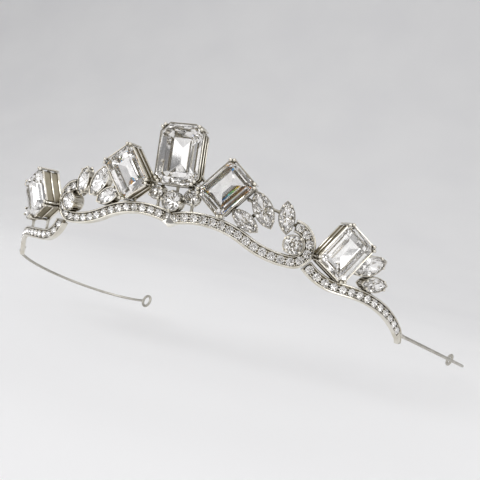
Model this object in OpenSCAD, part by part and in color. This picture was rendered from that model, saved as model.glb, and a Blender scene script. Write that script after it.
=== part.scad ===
// Bridal tiara: step-cut and navette stones in claw settings, on two pairs of
// pave bands that meet in a V at the brow, with a sprung wire arm at each end.
// Every sub-part is laid out on an unrolled brow wall, where s is the distance
// along the wall from the middle and z the height, and is then bent on to it.
// The origin is the V's lowest back point. X is right, Y back and Z up.

/* [Brow curve] */
// Radius of the front stretch of the wall, seen from above
front_r = 150; // [120:5:200]
// Angle that the front stretch turns on each side, in degrees
front_turn = 17.5; // [12:0.5:22]
// Radius of each side stretch, seen from above
side_r = 58; // [50:1:75]
// How far the settings' backs lie behind the wall line
back_depth = 4.2; // [3.6:0.1:5]

/* [Bands] */
// Width across both rails
band_w = 3.9; // [3.4:0.1:4.2]
// Width of each polished rail
rail_w = 0.55; // [0.4:0.05:0.7]
// Front face of the rails, behind the wall line
band_face = 1.7; // [1.2:0.1:2.2]
// Depth of the channel between the rails
channel_depth = 1.3; // [1:0.1:1.6]
// Height of the bands' middle line above the V's lowest point
v_height = 2.7; // [2.5:0.1:3]
// Diameter of a pave stone
pave_d = 2.6; // [2.2:0.05:2.7]
// Pitch of the pave stones on the inner bands
inner_pitch = 3.02; // [2.9:0.02:3.2]
// Pitch of the pave stones on the outer bands
outer_pitch = 3.25; // [3:0.05:3.3]

/* [Stones] */
// Length of the middle step-cut stone
centre_l = 18; // [16:0.5:18.5]
// Width of the middle step-cut stone
centre_w = 13; // [11:0.5:13.5]
// Length of the four side step-cut stones
side_l = 14; // [12:0.5:14]
// Width of the four side step-cut stones
side_w = 10; // [8:0.5:10]
// Length of a large navette stone
large_l = 11.4; // [10:0.2:11.6]
// Width of a large navette stone
large_w = 5.6; // [4.6:0.2:5.8]
// Length of a small navette stone
small_l = 9.2; // [8:0.2:9.4]
// Width of a small navette stone
small_w = 4.5; // [3.6:0.1:4.6]
// Diameter of the round stone under the middle stone
brow_d = 5.8; // [5:0.1:5.9]
// Diameter of the two small round stones beside it
bud_d = 4.3; // [3.6:0.1:4.5]
// Diameter of the round stones inside the scrolls
scroll_d = 5.6; // [5:0.1:5.7]

/* [Wire arms] */
// Diameter of the arms' wire
wire_d = 1.2; // [1:0.1:1.5]
// Radius of an eyelet's middle line
eye_r = 2.5; // [2.2:0.1:3]
// Radius of the flat worn inside an eyelet
eye_bore_r = 1.95; // [1.7:0.05:1.95]
// Direction that each arm leaves in, from straight back towards outside, in degrees
arm_heading = 52; // [40:1:60]

/* [Hidden] */
$fn = 32;
fine = 0.05;

// Metal thickness of each kind of setting, and of the claws
step_wall = 0.5;
cup_wall = 0.3;
claw_r = 0.42;
small_claw_r = 0.32;
// How far a claw stands above its rim
claw_rise = 0.7;
// Distance between the two claws on each cut corner of a step-cut setting
claw_apart = 1.15;
// How far the small claws' centres stand in from the outside of their cup
claw_tuck = 0.18;

// Places on the unrolled wall: [s, z, turn of the long axis, rim ahead of the wall line]
centre_at = [0, 22.5, 90, 0.6];
inner_at = [16.6, 14.7, 48, 1.2];
outer_at = [54.8, 2.6, 53, 2.0];
tall_at = [28.5, 10.65, 121.5, -1.4];
low_at = [23.6, 6.35, -32, -0.9];
scroll_navette_at = [36, 9.7, 98, -1.6];
fan_at = [65.35, 0.05, 23, -1];
base_at = [68.3, -5.35, 3, -1];
brow_at = [0, 8.1, 0, 0];
bud_at = [5.9, 10.2, 0, -0.8];
scroll_at = [39.3, 2.1, 0, 0.2];

// Band lines: a start [s, z, heading], then [signed radius, degrees] arcs, where a
// plus radius turns up and left and a radius of 0 is a straight stretch in mm
inner_start = [0, v_height, 18];
inner_arcs = [[-32, 46], [31, 28], [5, 90], [6, 84]];
outer_right_start = [44.6, -3.3, -43];
outer_right_arcs = [[19, 37], [0, 5], [-44, 36]];
// The left outer band hangs lower than the right one on its way to the same tip
outer_left_start = [44, -5.2, -72];
outer_left_arcs = [[9, 69], [0, 14.8], [-30, 39]];
tail_arcs = [[-6, 40]];
inner_count = 19;
outer_count = 14;
first_stone = 1.6;

// Arms: where each wire starts on the wall, how steeply its plane falls to the back
// and to the outside, and its arcs, which all turn towards the middle
arm_root = [88.9, -21, -2.5];
left_fall = [0.40, 0];
right_fall = [0.12, 0.25];
left_arcs = [[28, 66], [33, 44], [31, 60]];
right_arcs = [[86, 60]];
wire_sides = 12;

metal = [0.82, 0.81, 0.78];
satin = [0.70, 0.69, 0.66];
crystal = [0.88, 0.90, 0.93];

// ---- the wall ----

function plan_turn(s) =
    let (a = abs(s), bend = front_r * front_turn * PI / 180)
    sign(s) * (a < bend ? a / front_r * 180 / PI
                        : front_turn + (a - bend) / side_r * 180 / PI);

function plan_point(s) =
    let (t = abs(plan_turn(s)), f = min(t, front_turn))
    [sign(s) * (front_r * sin(f) + side_r * (sin(t) - sin(f))),
     front_r * (1 - cos(f)) + side_r * (cos(f) - cos(t))];

// A point of the wall in space; out is measured ahead of the wall line
function on_wall(s, z, out) =
    let (p = plan_point(s), t = plan_turn(s))
    [p[0] + out * sin(t), p[1] - out * cos(t) - back_depth, z];

// Moves children, drawn with their front towards +Z and their base at 0, on to the wall
module at_wall(place, depth) {
    translate(on_wall(place[0], place[1], place[3] - depth))
        rotate([0, 0, plan_turn(place[0])])
            rotate([90, 0, 0])
                rotate([0, 0, place[2]]) children();
}

module twin(left) {
    if (left) mirror([1, 0, 0]) children();
    else children();
}

// ---- lines made of arcs ----

function arc_end(p, arc, part = 1) =
    arc[0] == 0
    ? [p[0] + arc[1] * part * cos(p[2]), p[1] + arc[1] * part * sin(p[2]), p[2]]
    : let (h = p[2] + sign(arc[0]) * arc[1] * part)
      [p[0] + arc[0] * (sin(h) - sin(p[2])), p[1] + arc[0] * (cos(p[2]) - cos(h)), h];

function arc_length(arc) = arc[0] == 0 ? arc[1] : abs(arc[0]) * arc[1] * PI / 180;

function rest_of(list) = [for (i = [1 : 1 : len(list) - 1]) list[i]];

// Points about every step mm along the arcs, each as [s, z, heading]
function walk(p, arcs, step = 1.5) =
    len(arcs) == 0 ? [p]
    : let (n = ceil(arc_length(arcs[0]) / step))
      concat([for (i = [0 : n - 1]) arc_end(p, arcs[0], i / n)],
             walk(arc_end(p, arcs[0]), rest_of(arcs), step));

// The point a given distance along the arcs
function along(p, arcs, d) =
    let (here = arc_length(arcs[0]))
    d <= here || len(arcs) == 1 ? arc_end(p, arcs[0], d / here)
    : along(arc_end(p, arcs[0]), rest_of(arcs), d - here);

// ---- solids built of rings, from the top down, each ring anticlockwise from above ----

function quad(a, b, c, d) = [[a, b, c], [a, c, d]];

function loft_sides(m, n) =
    [for (k = [0 : m - 2], i = [0 : n - 1])
        each quad(k * n + i, k * n + (i + 1) % n, (k + 1) * n + (i + 1) % n, (k + 1) * n + i)];

module loft(rings) {
    m = len(rings);
    n = len(rings[0]);
    polyhedron(
        points = [for (r = rings) each r],
        faces = concat([[for (i = [n - 1 : -1 : 0]) i]],
                       [[for (i = [0 : n - 1]) (m - 1) * n + i]],
                       loft_sides(m, n)));
}

// ---- bands ----

half = band_w / 2;
lip = half - rail_w;
floor_out = -band_face - channel_depth;

// The U section as [across, out], and the triangles that close a band's ends
section = [[-half, -back_depth], [half, -back_depth], [half, -band_face], [lip, -band_face],
           [lip, floor_out], [-lip, floor_out], [-lip, -band_face], [-half, -band_face]];
end_faces = [[0, 1, 4], [0, 4, 5], [1, 2, 3], [1, 3, 4], [0, 5, 6], [0, 6, 7]];

function band_ring(p, taper = 1) =
    [for (q = section)
        on_wall(p[0] - q[0] * taper * sin(p[2]), p[1] + q[0] * taper * cos(p[2]), q[1])];

// The ring that closes a band on the middle plane
function mitre_ring(p) = [for (q = section) on_wall(0, p[1] + q[0] / cos(p[2]), q[1])];

module band(rings) {
    m = len(rings);
    n = len(section);
    polyhedron(
        points = [for (r = rings) each r],
        faces = concat(end_faces,
                       [for (f = end_faces) [for (i = [2 : -1 : 0]) (m - 1) * n + f[i]]],
                       [for (k = [0 : m - 2], i = [0 : n - 1])
                            each quad(k * n + i, (k + 1) * n + i,
                                      (k + 1) * n + (i + 1) % n, k * n + (i + 1) % n)]));
}

module inner_band(left) {
    line = walk(inner_start, inner_arcs);
    color(metal) twin(left)
        band(concat([mitre_ring(inner_start)], [for (p = rest_of(line)) band_ring(p)]));
}

// The outer band runs on past its last stone into a narrowing tail
module outer_band(start, arcs, left) {
    line = walk(start, arcs);
    tail = rest_of(walk(line[len(line) - 1], tail_arcs, 0.8));
    color(metal) twin(left)
        band(concat([for (p = line) band_ring(p)],
                    [for (i = [0 : len(tail) - 1]) band_ring(tail[i], 1 - 0.45 * i / len(tail))]));
}

// The plain metal wedge under the stones where the two inner bands meet
module v_point() {
    wedge_w = 3.2;
    top = v_height - half / cos(inner_start[2]) - fine;
    side = top + wedge_w / 2 * tan(inner_start[2]);
    color(metal) rotate([90, 0, 0])
        linear_extrude(back_depth - band_face)
            polygon([[0, 0], [wedge_w / 2, side], [0, top], [-wedge_w / 2, side]]);
}

// ---- stones ----

// A round stone with its girdle at height 0: flat table, crown, and a blunt pavilion
module round_stone(d) {
    rotate_extrude()
        polygon([[0, -0.36 * d], [0.07 * d, -0.36 * d], [d / 2, -0.04 * d], [d / 2, 0],
                 [0.29 * d, 0.17 * d], [0, 0.17 * d]]);
}

function octagon(l, w, c) =
    [[l / 2, -w / 2 + c], [l / 2, w / 2 - c], [l / 2 - c, w / 2], [-l / 2 + c, w / 2],
     [-l / 2, w / 2 - c], [-l / 2, -w / 2 + c], [-l / 2 + c, -w / 2], [l / 2 - c, -w / 2]];

// The octagon moved in by t on every side
function octagon_in(l, w, c, t) = octagon(l - 2 * t, w - 2 * t, c - t * (2 - sqrt(2)));

function lift(points, z) = [for (p = points) [p[0], p[1], z]];

// A step-cut stone with its girdle at height 0; each step is [share of half width, height]
module step_stone(l, w, c) {
    steps = [[0.36, 0.19], [0.30, 0.18], [0.20, 0.13], [0.08, 0.06], [0, 0],
             [0, -0.04], [0.22, -0.17], [0.50, -0.27], [0.72, -0.33]];
    loft([for (k = steps) lift(octagon_in(l, w, c, k[0] * w / 2), k[1] * w)]);
}

// The navette outline: two arcs that meet in points at each end of the long axis
function lens_r(l, w) = (l * l + w * w) / (4 * w);

function lens_side(l, w, n) =
    let (r = lens_r(l, w), a = asin(l / 2 / r))
    [for (i = [0 : n - 1]) let (t = -a + 2 * a * i / n) [-r * sin(t), r * cos(t) - r + w / 2]];

// Anticlockwise points, starting at the right-hand tip
function lens(l, w, n = 8) =
    let (side = lens_side(l, w, n)) concat(side, [for (p = side) -p]);

// A navette stone with its girdle at height 0
module navette_stone(l, w) {
    steps = [[0.42, 0.20], [0.80, 0.11], [1, 0], [1, -0.05], [0.6, -0.24], [0.12, -0.36]];
    loft([for (k = steps) lift(lens(l * k[0], w * k[0]), k[1] * w)]);
}

// ---- settings ----

// Distance from a setting's base up to the girdle of its stone
function girdle(depth) = depth - 0.25;

module octagon_rail(l, w, c, z0, z1, wall) {
    translate([0, 0, z0]) linear_extrude(z1 - z0)
        difference() {
            polygon(octagon(l, w, c));
            polygon(octagon_in(l, w, c, wall));
        }
}

// The places of the claws, in pairs on the four cut corners of an octagon of 8 points
function claw_places(o) =
    [for (k = [1 : 2 : 7])
        let (a = o[k], b = o[(k + 1) % 8], half_gap = claw_apart / 2 / norm(b - a))
        for (t = [0.5 - half_gap, 0.5 + half_gap]) a * (1 - t) + b * t];

// An open basket: base, middle and top rails, with a pair of claws at each cut corner
module step_setting(l, w, c, depth) {
    ol = l + 2 * step_wall + fine;
    ow = w + 2 * step_wall + fine;
    oc = c + step_wall * (2 - sqrt(2));
    octagon_rail(ol, ow, oc, 0, 0.8, 1.3);
    octagon_rail(ol, ow, oc, depth * 0.45, depth * 0.45 + 0.6, step_wall);
    octagon_rail(ol, ow, oc, depth - 0.9, depth, step_wall);
    for (p = claw_places(octagon_in(ol, ow, oc, claw_r * 0.6))) translate([p[0], p[1], 0]) {
        difference() {
            cylinder(r = claw_r, h = depth + claw_rise);
            translate([0, 0, depth - 1.1]) linear_extrude(2 + claw_rise)
                polygon([for (q = octagon_in(ol, ow, oc, step_wall)) q - p]);
        }
    }
}

module lens_plate(l, w, h) {
    r = lens_r(l, w);
    linear_extrude(h) intersection() {
        translate([0, r - w / 2]) circle(r, $fn = 96);
        translate([0, w / 2 - r]) circle(r, $fn = 96);
    }
}

// A cup that follows the navette, open at the back, with two claws near each tip
module navette_setting(l, w, depth) {
    ol = l + 4 * cup_wall;
    ow = w + 2 * cup_wall + fine;
    reach = l / 2 - 1.5;
    r = lens_r(ol, ow);
    side = sqrt(r * r - reach * reach) - r + ow / 2 - claw_tuck;
    difference() {
        lens_plate(ol, ow, depth);
        translate([0, 0, 0.6]) lens_plate(l + fine, w + fine, depth);
        translate([0, 0, -1]) lens_plate(l - 2.4, w - 1.2, depth);
    }
    for (x = [-reach, reach], y = [-side, side])
        difference() {
            translate([x, y, depth - 2]) cylinder(r = small_claw_r, h = 2 + claw_rise);
            translate([0, 0, depth - 3]) lens_plate(l + fine, w + fine, 6);
        }
}

// A round cup with four claws
module round_setting(d, depth) {
    outer = d / 2 + cup_wall - 0.05;
    difference() {
        cylinder(r = outer, h = depth);
        translate([0, 0, 0.6]) cylinder(r = d / 2 + fine / 2, h = depth);
        translate([0, 0, -1]) cylinder(r = d / 2 - 0.8, h = depth);
    }
    for (a = [45 : 90 : 315])
        difference() {
            rotate([0, 0, a]) translate([outer - claw_tuck, 0, depth - 2])
                cylinder(r = small_claw_r, h = 2 + claw_rise);
            translate([0, 0, depth - 3]) cylinder(r = d / 2 + fine / 2, h = 6);
        }
}

// ---- placed stones and settings ----

function full_depth(place) = place[3] + back_depth;

module placed_step(place, l, w, c, setting, left) {
    depth = full_depth(place);
    twin(left) at_wall(place, depth)
        if (setting) color(metal) step_setting(l, w, c, depth);
        else color(crystal) translate([0, 0, girdle(depth)]) step_stone(l, w, c);
}

module placed_navette(place, l, w, setting, left) {
    depth = full_depth(place);
    twin(left) at_wall(place, depth)
        if (setting) color(metal) navette_setting(l, w, depth);
        else color(crystal) translate([0, 0, girdle(depth)]) navette_stone(l, w);
}

module placed_round(place, d, setting, left) {
    depth = full_depth(place);
    twin(left) at_wall(place, depth)
        if (setting) color(metal) round_setting(d, depth);
        else color(crystal) translate([0, 0, girdle(depth)]) round_stone(d);
}

module pave_row(start, arcs, count, pitch, left) {
    for (i = [0 : count - 1]) {
        p = along(start, arcs, first_stone + i * pitch);
        color(crystal) twin(left)
            translate(on_wall(p[0], p[1], -band_face - 0.25))
                rotate([0, 0, plan_turn(p[0])]) rotate([90, 0, 0]) round_stone(pave_d);
    }
}

centre_cut = 2.7;
side_cut = 1.5;

module big_centre(setting) placed_step(centre_at, centre_l, centre_w, centre_cut, setting, false);
module big_inner(setting, left) placed_step(inner_at, side_l, side_w, side_cut, setting, left);
module big_outer(setting, left) placed_step(outer_at, side_l, side_w, side_cut, setting, left);
module tall(setting, left) placed_navette(tall_at, large_l, large_w, setting, left);
module low(setting, left) placed_navette(low_at, small_l, small_w, setting, left);
module scroll_top(setting, left) placed_navette(scroll_navette_at, small_l, small_w, setting, left);
module fan(setting, left) placed_navette(fan_at, large_l, large_w, setting, left);
module base(setting, left) placed_navette(base_at, small_l, small_w, setting, left);
module brow(setting) placed_round(brow_at, brow_d, setting, false);
module bud(setting, left) placed_round(bud_at, bud_d, setting, left);
module scroll_eye(setting, left) placed_round(scroll_at, scroll_d, setting, left);

// ---- solder links, small bars at the back that bridge neighbouring settings ----

link_r = 0.45;
link_out = 0.6;

// A round bar between two places [s, z] on the wall, just ahead of the settings' backs
module link(a, b) {
    p = on_wall(a[0], a[1], link_out - back_depth);
    v = on_wall(b[0], b[1], link_out - back_depth) - p;
    l = norm(v);
    translate(p) rotate([0, acos(v[2] / l), atan2(v[1], v[0])]) cylinder(r = link_r, h = l);
}

centre_links = [
    [[0, 10.6], [0, 13.4]],
    [[0, 5.4], [0, 4.2]]
];

shared_links = [
    [[6.9, 17.6], [8.9, 15.6]],
    [[5.3, 12.1], [5.1, 13.6]],
    [[3.4, 9.3], [2.6, 8.9]],
    [[5.9, 8.2], [5.9, 5.6]],
    [[14.6, 7.4], [14.6, 5.1]],
    [[23.2, 13.0], [24.9, 12.6]],
    [[20.4, 8.5], [18.8, 9.8]],
    [[22.0, 4.5], [21.8, 3.4]],
    [[25.6, 8.3], [26.7, 9.1]],
    [[30.6, 11.6], [34.0, 10.9]],
    [[37.9, 8.1], [39.4, 8.0]],
    [[39.4, -0.6], [39.4, -1.5]],
    [[42.0, 2.2], [43.0, 2.2]],
    [[46.1, 0.6], [47.8, -0.1]],
    [[60.7, -2.2], [58.9, -0.9]],
    [[67.0, -3.2], [67.0, -2.5]]
];

// The struts down to the outer band, longer on the left
right_links = concat(shared_links, [[[53.9, -5.8], [53.9, -6.4]], [[69.0, -7.8], [69.0, -8.9]]]);
left_links = concat(shared_links, [
    [[42.8, -3.2], [44.2, -5.8]],
    [[53.9, -5.8], [53.9, -10.4]],
    [[69.0, -7.8], [69.0, -11.4]]
]);

module links(list, left) {
    color(metal) twin(left) for (k = list) link(k[0], k[1]);
}

// ---- wire arms ----

root_point = on_wall(arm_root[0], arm_root[1], arm_root[2]);

// Axes of an arm's plane: one towards the outside, one towards the back, both falling
function back_axis(fall) = let (v = [0, 1, -fall[0]]) v / norm(v);
function side_axis(fall) =
    let (v = [1, 0, -fall[1]], y = back_axis(fall), w = v - (v * y) * y) w / norm(w);

module in_arm_plane(fall) {
    x = side_axis(fall);
    y = back_axis(fall);
    z = cross(x, y);
    translate(root_point)
        multmatrix([[x[0], y[0], z[0], 0], [x[1], y[1], z[1], 0], [x[2], y[2], z[2], 0],
                    [0, 0, 0, 1]])
            children();
}

// The wire's line in the plane as [x, y, heading], leaving outwards from straight back
function wire_line(arcs) = walk([0, 0, 90 - arm_heading], arcs);

// A ring of the wire's surface, r in radius, moved back along the wire by b
function wire_ring(p, r, b = 0) =
    [for (i = [0 : wire_sides - 1])
        let (a = 360 * i / wire_sides, q = r * cos(a))
        [p[0] - b * cos(p[2]) - q * sin(p[2]), p[1] - b * sin(p[2]) + q * cos(p[2]), r * sin(a)]];

// The wire, with a rounded end where it is soldered to the band's tail
module arm_wire(arcs, fall, left) {
    line = wire_line(arcs);
    r = wire_d / 2;
    color(satin) twin(left) in_arm_plane(fall)
        loft(concat([for (a = [15 : 25 : 65]) wire_ring(line[0], r * sin(a), r * cos(a))],
                    [for (p = line) wire_ring(p, r)]));
}

// The bent ring at the wire's end, standing across the arm's plane, worn flat inside
module arm_eyelet(arcs, fall, left) {
    line = wire_line(arcs);
    last = line[len(line) - 1];
    color(satin) twin(left) in_arm_plane(fall)
        translate([last[0], last[1], 0]) rotate([0, 0, last[2]])
            translate([eye_r + wire_d / 2, 0, 0]) rotate([90, 0, 0])
                difference() {
                    rotate_extrude($fn = 64) translate([eye_r, 0]) circle(d = wire_d);
                    cylinder(r = eye_bore_r, h = 2 * wire_d, center = true, $fn = 64);
                }
}

// ---- drawing ----

inner_band(true);  // inner_left_band
inner_band(false);  // inner_right_band
outer_band(outer_left_start, outer_left_arcs, true);  // outer_left_band
outer_band(outer_right_start, outer_right_arcs, false);  // outer_right_band
v_point();
pave_row(inner_start, inner_arcs, inner_count, inner_pitch, true);  // inner_left_pave
pave_row(inner_start, inner_arcs, inner_count, inner_pitch, false);  // inner_right_pave
pave_row(outer_left_start, outer_left_arcs, outer_count, outer_pitch, true);  // outer_left_pave
pave_row(outer_right_start, outer_right_arcs, outer_count, outer_pitch, false);  // outer_right_pave
big_centre(true);  // centre_setting
big_centre(false);  // centre_stone
big_inner(true, true);  // inner_left_setting
big_inner(false, true);  // inner_left_stone
big_inner(true, false);  // inner_right_setting
big_inner(false, false);  // inner_right_stone
big_outer(true, true);  // outer_left_setting
big_outer(false, true);  // outer_left_stone
big_outer(true, false);  // outer_right_setting
big_outer(false, false);  // outer_right_stone
tall(true, true);  // tall_left_navette_setting
tall(false, true);  // tall_left_navette
tall(true, false);  // tall_right_navette_setting
tall(false, false);  // tall_right_navette
low(true, true);  // low_left_navette_setting
low(false, true);  // low_left_navette
low(true, false);  // low_right_navette_setting
low(false, false);  // low_right_navette
scroll_top(true, true);  // scroll_left_navette_setting
scroll_top(false, true);  // scroll_left_navette
scroll_top(true, false);  // scroll_right_navette_setting
scroll_top(false, false);  // scroll_right_navette
fan(true, true);  // fan_left_navette_setting
fan(false, true);  // fan_left_navette
fan(true, false);  // fan_right_navette_setting
fan(false, false);  // fan_right_navette
base(true, true);  // base_left_navette_setting
base(false, true);  // base_left_navette
base(true, false);  // base_right_navette_setting
base(false, false);  // base_right_navette
brow(true);  // brow_round_setting
brow(false);  // brow_round
bud(true, true);  // bud_left_setting
bud(false, true);  // bud_left
bud(true, false);  // bud_right_setting
bud(false, false);  // bud_right
scroll_eye(true, true);  // scroll_left_round_setting
scroll_eye(false, true);  // scroll_left_round
scroll_eye(true, false);  // scroll_right_round_setting
scroll_eye(false, false);  // scroll_right_round
links(centre_links, false);  // solder_links_centre
links(left_links, true);  // solder_links_left
links(right_links, false);  // solder_links_right
arm_wire(left_arcs, left_fall, true);  // left_arm_wire
arm_eyelet(left_arcs, left_fall, true);  // left_arm_eyelet
arm_wire(right_arcs, right_fall, false);  // right_arm_wire
arm_eyelet(right_arcs, right_fall, false);  // right_arm_eyelet
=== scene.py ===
"""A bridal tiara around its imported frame: foil-backed stones, claw settings, pave bands and wire arms."""

import math
import random

import bmesh
import bpy
import numpy as np
from mathutils import Matrix, Vector


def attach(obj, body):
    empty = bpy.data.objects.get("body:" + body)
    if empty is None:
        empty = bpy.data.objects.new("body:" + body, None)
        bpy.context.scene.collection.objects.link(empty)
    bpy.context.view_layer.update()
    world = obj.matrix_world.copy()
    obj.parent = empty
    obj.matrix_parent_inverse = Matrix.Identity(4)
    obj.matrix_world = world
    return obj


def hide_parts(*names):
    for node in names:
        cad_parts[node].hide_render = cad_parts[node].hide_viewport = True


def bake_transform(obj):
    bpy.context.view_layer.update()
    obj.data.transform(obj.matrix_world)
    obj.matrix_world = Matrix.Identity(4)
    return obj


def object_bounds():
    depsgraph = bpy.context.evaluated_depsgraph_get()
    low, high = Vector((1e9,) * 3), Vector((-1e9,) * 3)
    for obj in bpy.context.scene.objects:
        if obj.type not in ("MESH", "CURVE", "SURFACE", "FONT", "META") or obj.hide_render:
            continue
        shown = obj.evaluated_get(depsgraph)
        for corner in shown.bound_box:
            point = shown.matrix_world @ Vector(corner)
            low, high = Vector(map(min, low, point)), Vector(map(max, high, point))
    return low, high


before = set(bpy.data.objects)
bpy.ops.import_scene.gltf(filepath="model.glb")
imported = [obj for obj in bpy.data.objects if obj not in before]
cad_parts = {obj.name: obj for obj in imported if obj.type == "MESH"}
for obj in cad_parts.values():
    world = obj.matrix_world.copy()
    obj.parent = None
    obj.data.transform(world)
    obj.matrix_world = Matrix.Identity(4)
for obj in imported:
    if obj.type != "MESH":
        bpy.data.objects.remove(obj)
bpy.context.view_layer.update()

MM = 0.001
# Points nearer than this, in metres, are one point
WELD = 1e-7
random.seed(12)

# Everything down to the materials is in millimetres and degrees.
# The wall that the front is bent along, in plan: an arc over the brow, then a tighter one a side
FRONT_R = 150.0
FRONT_TURN = 17.5
SIDE_R = 58.0
# The band's section: the depth of its back, its width, its rails' width, its face and its channel
BACK_DEPTH = 4.2
BAND_W = 3.9
RAIL_W = 0.55
BAND_FACE = 1.7
CHANNEL_DEPTH = 1.3
# Where the inner bands' line crosses the middle, and a pave stone's width
V_HEIGHT = 2.7
PAVE_D = 2.6
# Each band's line on the unrolled wall starts at (distance along the wall, height, heading).
# Its arcs are (radius, degrees), turning clockwise where the radius is minus; (0, mm) is straight
INNER_START = (0.0, V_HEIGHT, 18.0)
INNER_ARCS = [(-32, 46), (31, 28), (5, 90), (6, 84)]
RIGHT_START = (44.6, -3.3, -43.0)
RIGHT_ARCS = [(19, 37), (0, 5), (-44, 36)]
LEFT_START = (44.0, -5.2, -72.0)
LEFT_ARCS = [(9, 69), (0, 14.8), (-30, 39)]
TAIL_ARCS = [(-6, 40)]
# How far along its line each row's first stone sits
FIRST_STONE = 1.6
# Each row's line, its number of pave stones and their pitch
ROWS = {("inner", "left"): (INNER_START, INNER_ARCS, 19, 3.02),
        ("inner", "right"): (INNER_START, INNER_ARCS, 19, 3.02),
        ("outer", "left"): (LEFT_START, LEFT_ARCS, 14, 3.25),
        ("outer", "right"): (RIGHT_START, RIGHT_ARCS, 14, 3.25)}

# The wire arms: where each starts on the wall and its heading in plan, then its plane's fall to the
# back and to the outside, and its arcs
ARM_ROOT = (88.9, -21.0, -2.5)
ARM_HEADING = 52.0
ARMS = {"left": ((0.40, 0.0), [(28, 66), (33, 44), (31, 60)]), "right": ((0.12, 0.25), [(86, 60)])}
WIRE_R = 0.6
EYE_R = 2.5

SIDES = {"left": -1, "right": 1}


# ---- arcs and the wall ----

def sin(a):
    return math.sin(math.radians(a))


def cos(a):
    return math.cos(math.radians(a))


def plan_turn(s):
    """How far the wall has turned at distance s along it."""
    bend = FRONT_R * math.radians(FRONT_TURN)
    a = abs(s)
    turn = math.degrees(a / FRONT_R) if a < bend else FRONT_TURN + math.degrees((a - bend) / SIDE_R)
    return math.copysign(turn, s)


def on_wall(s, z, out):
    """The point at distance s along the wall, height z, and out ahead of the wall line."""
    t = plan_turn(s)
    full = abs(t)
    front = min(full, FRONT_TURN)
    x = math.copysign(FRONT_R * sin(front) + SIDE_R * (sin(full) - sin(front)), s)
    y = FRONT_R * (1 - cos(front)) + SIDE_R * (cos(front) - cos(full))
    return Vector((x + out * sin(t), y - out * cos(t) - BACK_DEPTH, z))


def arc_end(p, arc, part=1.0):
    """Where an arc from p, or the given part of it, ends."""
    x, y, h = p
    r, amount = arc
    if r == 0:
        return (x + amount * part * cos(h), y + amount * part * sin(h), h)
    g = h + math.copysign(amount, r) * part
    return (x + r * (sin(g) - sin(h)), y + r * (cos(h) - cos(g)), g)


def arc_length(arc):
    return arc[1] if arc[0] == 0 else abs(arc[0]) * math.radians(arc[1])


def walk(p, arcs, step):
    """Points about every step mm along the arcs, each as (x, y, heading)."""
    points = []
    for arc in arcs:
        n = math.ceil(arc_length(arc) / step)
        points += [arc_end(p, arc, i / n) for i in range(n)]
        p = arc_end(p, arc)
    return points + [p]


def along(p, arcs, distance):
    """The point at a distance along the arcs from p."""
    for arc in arcs[:-1]:
        here = arc_length(arc)
        if distance <= here:
            return arc_end(p, arc, distance / here)
        p = arc_end(p, arc)
        distance -= here
    return arc_end(p, arcs[-1], distance / arc_length(arcs[-1]))


# ---- where the frame holds each stone ----

def frame_points(node):
    """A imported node's points, in millimetres."""
    return np.array([v.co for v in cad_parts[node].data.vertices]) / MM


# A place inside the head, in plan, that every stone faces away from
HEAD_X, HEAD_Y = 0.0, 60.0
# Points this near a stone's end are on its girdle
GIRDLE_NEAR = 0.02


def seat(node):
    """A stone's own axes and girdle centre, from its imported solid: X long, Y short, Z outwards."""
    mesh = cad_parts[node].data
    mesh.calc_loop_triangles()
    co = frame_points(node)
    tri = co[np.array([t.vertices for t in mesh.loop_triangles])]
    area = np.linalg.norm(np.cross(tri[:, 1] - tri[:, 0], tri[:, 2] - tri[:, 0]), axis=1)
    mid = tri.mean(axis=1)
    centre = (mid * area[:, None]).sum(0) / area.sum()
    spread = (mid - centre) * np.sqrt(area)[:, None]
    axes = np.linalg.eigh(spread.T @ spread)[1].T
    out, short, long_axis = axes
    head = np.array([HEAD_X, HEAD_Y, centre[2]])
    if out @ (centre - head) < 0:
        out = -out
    if long_axis[2] < 0:
        long_axis = -long_axis
    short = np.cross(out, long_axis)
    local = (co - centre) @ np.array([long_axis, short, out]).T
    lo, hi = local.min(0), local.max(0)
    rim = local[np.abs(local[:, 0]) > hi[0] - GIRDLE_NEAR][:, 2].max()
    shift = np.array([(lo[0] + hi[0]) / 2, (lo[1] + hi[1]) / 2, rim])
    origin = centre + shift @ np.array([long_axis, short, out])
    matrix = Matrix([[*row, 0] for row in np.array([long_axis, short, out]).T] + [[0, 0, 0, 1]])
    matrix.translation = Vector(origin)
    return {"matrix": matrix, "l": hi[0] - lo[0], "w": hi[1] - lo[1]}


def base_of(setting, place):
    """How far the setting's back lies behind its stone's girdle."""
    inverse = place["matrix"].inverted()
    return min((inverse @ Vector(p)).z for p in frame_points(setting))


# ---- mesh building ----

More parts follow.
